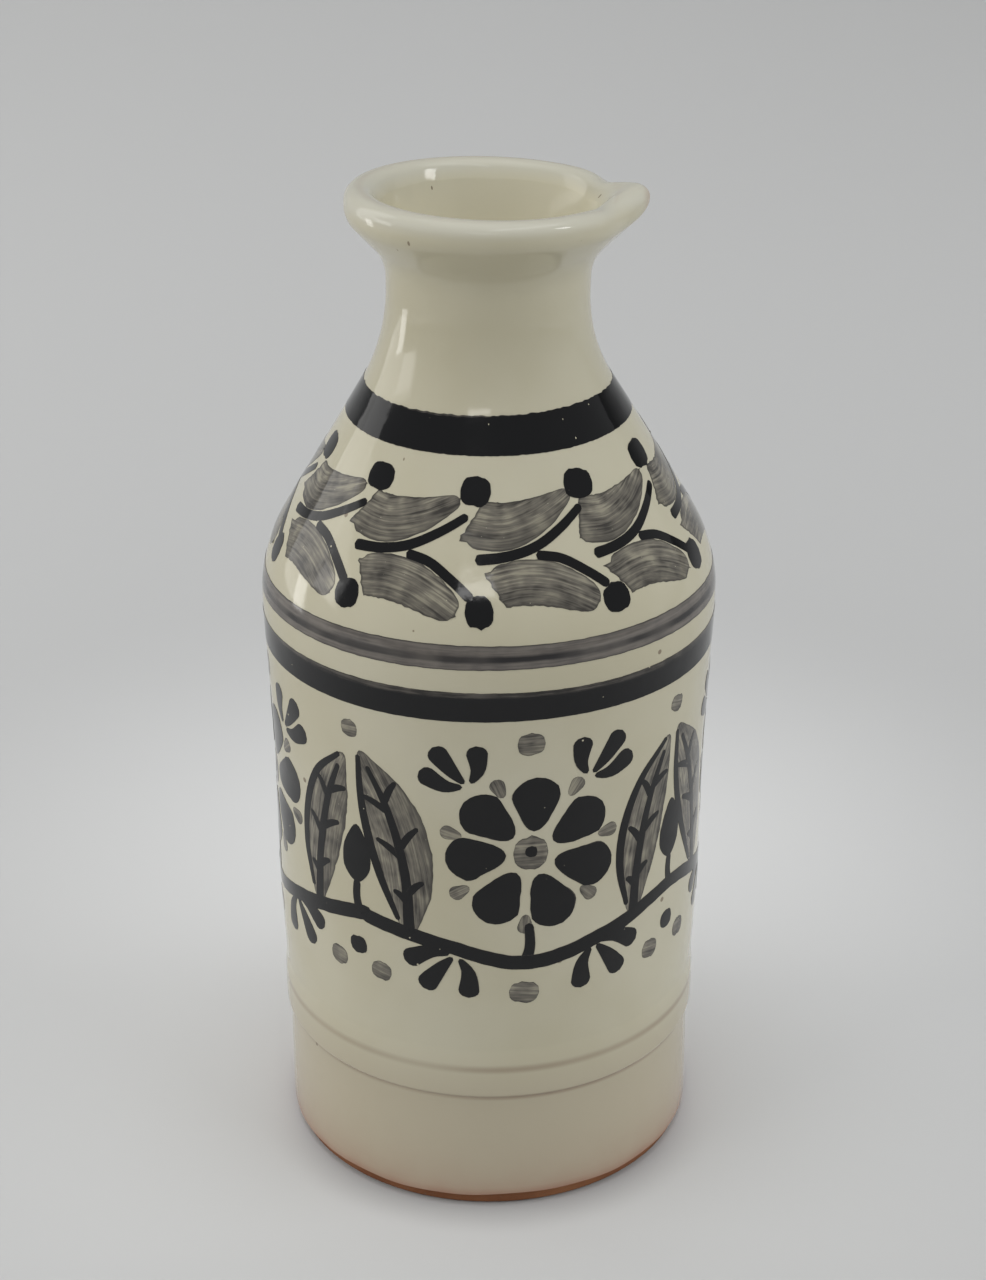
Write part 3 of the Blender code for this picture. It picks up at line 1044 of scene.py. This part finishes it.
def paint_commas(motif, petals, root, ends):
    """A spray of black comma strokes, thin at the root and full at the end."""
    for s, h, sway in ends:
        middle_s = (root[0] + s) / 2 - (h - root[1]) * sway
        middle_h = (root[1] + h) / 2 + (s - root[0]) * sway
        motif.stroke(petals, [(root[0] + (s - root[0]) * 0.15, root[1] + (h - root[1]) * 0.15, 0.9),
                              (middle_s, middle_h, 2.8), (s, h, 4.5)])


def paint_frieze(black, wash):
    """Flower frieze around the body: rosettes over a waving vine, with leaves, buds and sprays between."""
    washes = Brush("frieze_washes", WASH_HEIGHT, 31)
    petals = Brush("frieze_petals", STROKE_HEIGHT, 32)
    lines = Brush("frieze_lines", STROKE_HEIGHT, 33)
    hand = lines.random
    vine = []
    for repeat in range(FRIEZE_REPEATS):
        motif = Motif(FRIEZE_START + repeat * 360 / FRIEZE_REPEATS, hand)
        for s, h in ((0, -12), (16, -15.5), (32, -19), (48, -15.5)):
            vine.append(motif.at(s + hand.uniform(-0.5, 0.5), h + hand.uniform(-0.4, 0.4),
                                 hand.uniform(2.8, 3.3)))
        paint_rosette(motif, petals, washes, 32 + hand.uniform(-0.4, 0.4), 4 + hand.uniform(-0.4, 0.4), 16)
        motif.stroke(lines, [(31.6, -19, 2.2), (32.5, -15.5, 2), (32.2, -10.5, 1.7)])
        paint_leaf(motif, washes, lines, ((10.5, -14), (10, -4), (8.2, 5.5), (5.2, 14), (1, 22)),
                   (2.6, 10, 12.4, 9.8, 1.4), 3)
        paint_leaf(motif, washes, lines, ((53.5, -14), (54.2, -4), (55.8, 5), (58.2, 13), (61.6, 20.5)),
                   (2.4, 8.8, 10.6, 8.4, 1.4), 3)
        motif.stroke(lines, [(64, -12, 1.9), (63.4, -9, 1.7), (63.6, -5.5, 1.6)])
        motif.stroke(petals, [(63.6, -6, 2.6), (63.5, -2.5, 6.2), (63.7, 1.8, 5.6), (63.8, 6.3, 1.2)],
                     ragged=0.05)
        motif.dab(washes, 63.3, 26.2, 3.6, 3.4)
        for root, ends in FRIEZE_SPRAYS:
            paint_commas(motif, petals, root, ends)
        motif.dab(washes, 32, 26.4, 5, 4.4)
        motif.dab(washes, 31.6, -25.4, 5.6, 4.8)
        motif.dab(petals, 63.5, -19.6, 3.8, 3.8)
        motif.dab(washes, 58.6, -23.8, 4.2, 3.9)
        motif.dab(washes, 68.4, -23.8, 4.2, 3.9)
    first = vine[0]
    vine.append((first[0] + 360, first[1], first[2]))
    vine.append((first[0] + 363, first[1] - 0.2, first[2]))
    lines.stroke(vine, ragged=0.1, waves=(23, 41, 67, 97))
    washes.done(wash)
    petals.done(black)
    lines.done(black)


# Stage, light and camera

SWEEP_SIZE = 3
SWEEP_MIDDLE = -0.7
SWEEP_HEIGHT = 2
SWEEP_BEND = 0.6
UNDER_FOOT = -0.0002


def select_edges(piece, wanted):
    """Goes into edit mode with those edges selected whose two ends are wanted."""
    bpy.ops.object.mode_set(mode="EDIT")
    bpy.ops.mesh.select_all(action="DESELECT")
    bpy.ops.object.mode_set(mode="OBJECT")
    for edge in piece.data.edges:
        edge.select = all(wanted(piece.data.vertices[i].co) for i in edge.vertices)
    bpy.ops.object.mode_set(mode="EDIT")
    bpy.ops.mesh.select_mode(type="EDGE")


def paper_sweep(material):
    """A pale paper floor that curves up behind the pot."""
    bpy.ops.object.select_all(action="DESELECT")
    bpy.ops.mesh.primitive_plane_add(size=SWEEP_SIZE, location=(0, SWEEP_MIDDLE, UNDER_FOOT))
    sweep = bpy.context.object
    sweep.name = "paper_sweep"
    bpy.ops.object.transform_apply(location=True)
    back = max(v.co.y for v in sweep.data.vertices)
    select_edges(sweep, lambda spot: spot.y > back - 0.01)
    bpy.ops.mesh.extrude_region_move(TRANSFORM_OT_translate={"value": (0, 0, SWEEP_HEIGHT)})
    select_edges(sweep, lambda spot: abs(spot.y - back) + abs(spot.z) < 0.01)
    bpy.ops.mesh.bevel(offset=SWEEP_BEND, segments=24)
    bpy.ops.object.mode_set(mode="OBJECT")
    bpy.ops.object.shade_smooth()
    sweep.data.materials.append(material)


def new_object(name, data):
    """A lamp or a camera, put in the scene."""
    made = bpy.data.objects.new(name, data)
    bpy.context.scene.collection.objects.link(made)
    return made


def soft_light(name, place_at, target, size, power, colour, mirrored=True, lit=True):
    """A rectangular soft light that faces a point; a fill isn't mirrored, a mere gleam lights nothing."""
    data = bpy.data.lights.new(name, "AREA")
    data.shape = "RECTANGLE"
    data.size, data.size_y = size
    data.energy = power
    data.color = colour
    lamp = new_object(name, data)
    lamp.location = place_at
    lamp.visible_camera = False
    lamp.visible_glossy = mirrored
    lamp.visible_diffuse = lit
    aim = np.array(target) - np.array(place_at)
    lamp.rotation_euler = (atan2(hypot(aim[0], aim[1]), -aim[2]), 0, atan2(aim[1], aim[0]) - pi / 2)


DAYLIGHT = (1, 0.99, 0.97)
LAMPLIGHT = (1, 0.99, 0.98)
ROOM_GREY = (0.62, 0.63, 0.63, 1)
ROOM_STRENGTH = 0.56


def studio_light():
    """Soft fills from both sides and above, and the gleams of panes and lamps, in a plain grey room."""
    gleams = (
        ("left_window", (-0.673, 0.265, 0.45), (0, 0, 0.3), (0.35, 0.9), 1.2, DAYLIGHT),
        ("side_pane", (-0.72, -0.019, 0.29), (0, 0, 0.17), (0.26, 0.24), 0.2, DAYLIGHT),
        ("side_pane_core", (-0.715, -0.019, 0.265), (0, 0, 0.17), (0.2, 0.17), 0.15, DAYLIGHT),
        ("low_pane", (-0.66, 0.17, 0.08), (0, 0, 0.17), (0.1, 0.16), 0.15, DAYLIGHT),
        ("front_panel", (-0.1, -1.0, 0.85), (0, 0, 0.16), (0.4, 0.07), 0.42, LAMPLIGHT),
        ("right_panel", (0.81, -0.22, 0.9), (0, 0, 0.18), (0.18, 0.18), 0.75, LAMPLIGHT),
        ("ceiling_tube", (0.325, -0.21, 1.19), (0, 0, 0.19), (1.06, 0.05), 0.8, (1, 1, 1)),
        ("ceiling", (0, 0.25, 1.6), (0, 0.25, 0), (2.0, 1.6), 3.2, (0.97, 0.99, 1)),
    )
    for gleam in gleams:
        soft_light(*gleam, lit=False)
    fills = (
        ("left_fill", (-0.9, -0.32, 0.36), (0, 0, 0.09), (0.9, 0.9), 5.6, DAYLIGHT),
        ("right_fill", (0.9, -0.32, 0.36), (0, 0, 0.09), (0.9, 0.9), 5.3, (0.98, 0.99, 1)),
        ("top_fill", (-0.05, 0.05, 1.15), (0, -0.05, 0), (0.9, 0.9), 5.4, (0.99, 1, 1)),
    )
    for fill in fills:
        soft_light(*fill, mirrored=False)
    world = bpy.data.worlds.new("grey_room")
    bpy.context.scene.world = world
    world.use_nodes = True
    room = world.node_tree
    feed(room, room.nodes["Background"], Color=ROOM_GREY, Strength=ROOM_STRENGTH)


CAMERA_PLACE = (0.0008, -0.4177, 0.2961)
CAMERA_PITCH = radians(24.87)
CAMERA_LENS = 67.5


def photo_camera():
    """The photograph's viewpoint: a little over the pot, looking down at it."""
    data = bpy.data.cameras.new("photo_camera")
    data.lens = CAMERA_LENS
    data.sensor_width = 36
    data.clip_start = 0.01
    camera = new_object("photo_camera", data)
    camera.location = CAMERA_PLACE
    camera.rotation_euler = (pi / 2 - CAMERA_PITCH, 0, 0)
    bpy.context.scene.camera = camera


def main():
    """Makes the finishes, the dressed pot, the stage, the light and the camera."""
    surface = glassy_surface_group()
    pinholes = pinholes_group()
    streaks = brush_streaks_group()
    black = black_material("black_brushwork", surface, streaks, pinholes, HAIR_FRINGE)
    fringed_black = black_material("fringed_black", surface, streaks, pinholes, BAND_FRINGE)
    leaf_wash = wash_material(surface, streaks, pinholes)
    band_wash = band_wash_material(surface, streaks)
    glaze_skin(glaze_material(surface, pinholes))
    clay_pot(clay_material())
    paint_bands(black, fringed_black, band_wash)
    paint_garland(black, leaf_wash)
    paint_frieze(black, leaf_wash)
    paper_sweep(paper_material())
    studio_light()
    photo_camera()
    bpy.context.scene.view_settings.view_transform = "Standard"


main()
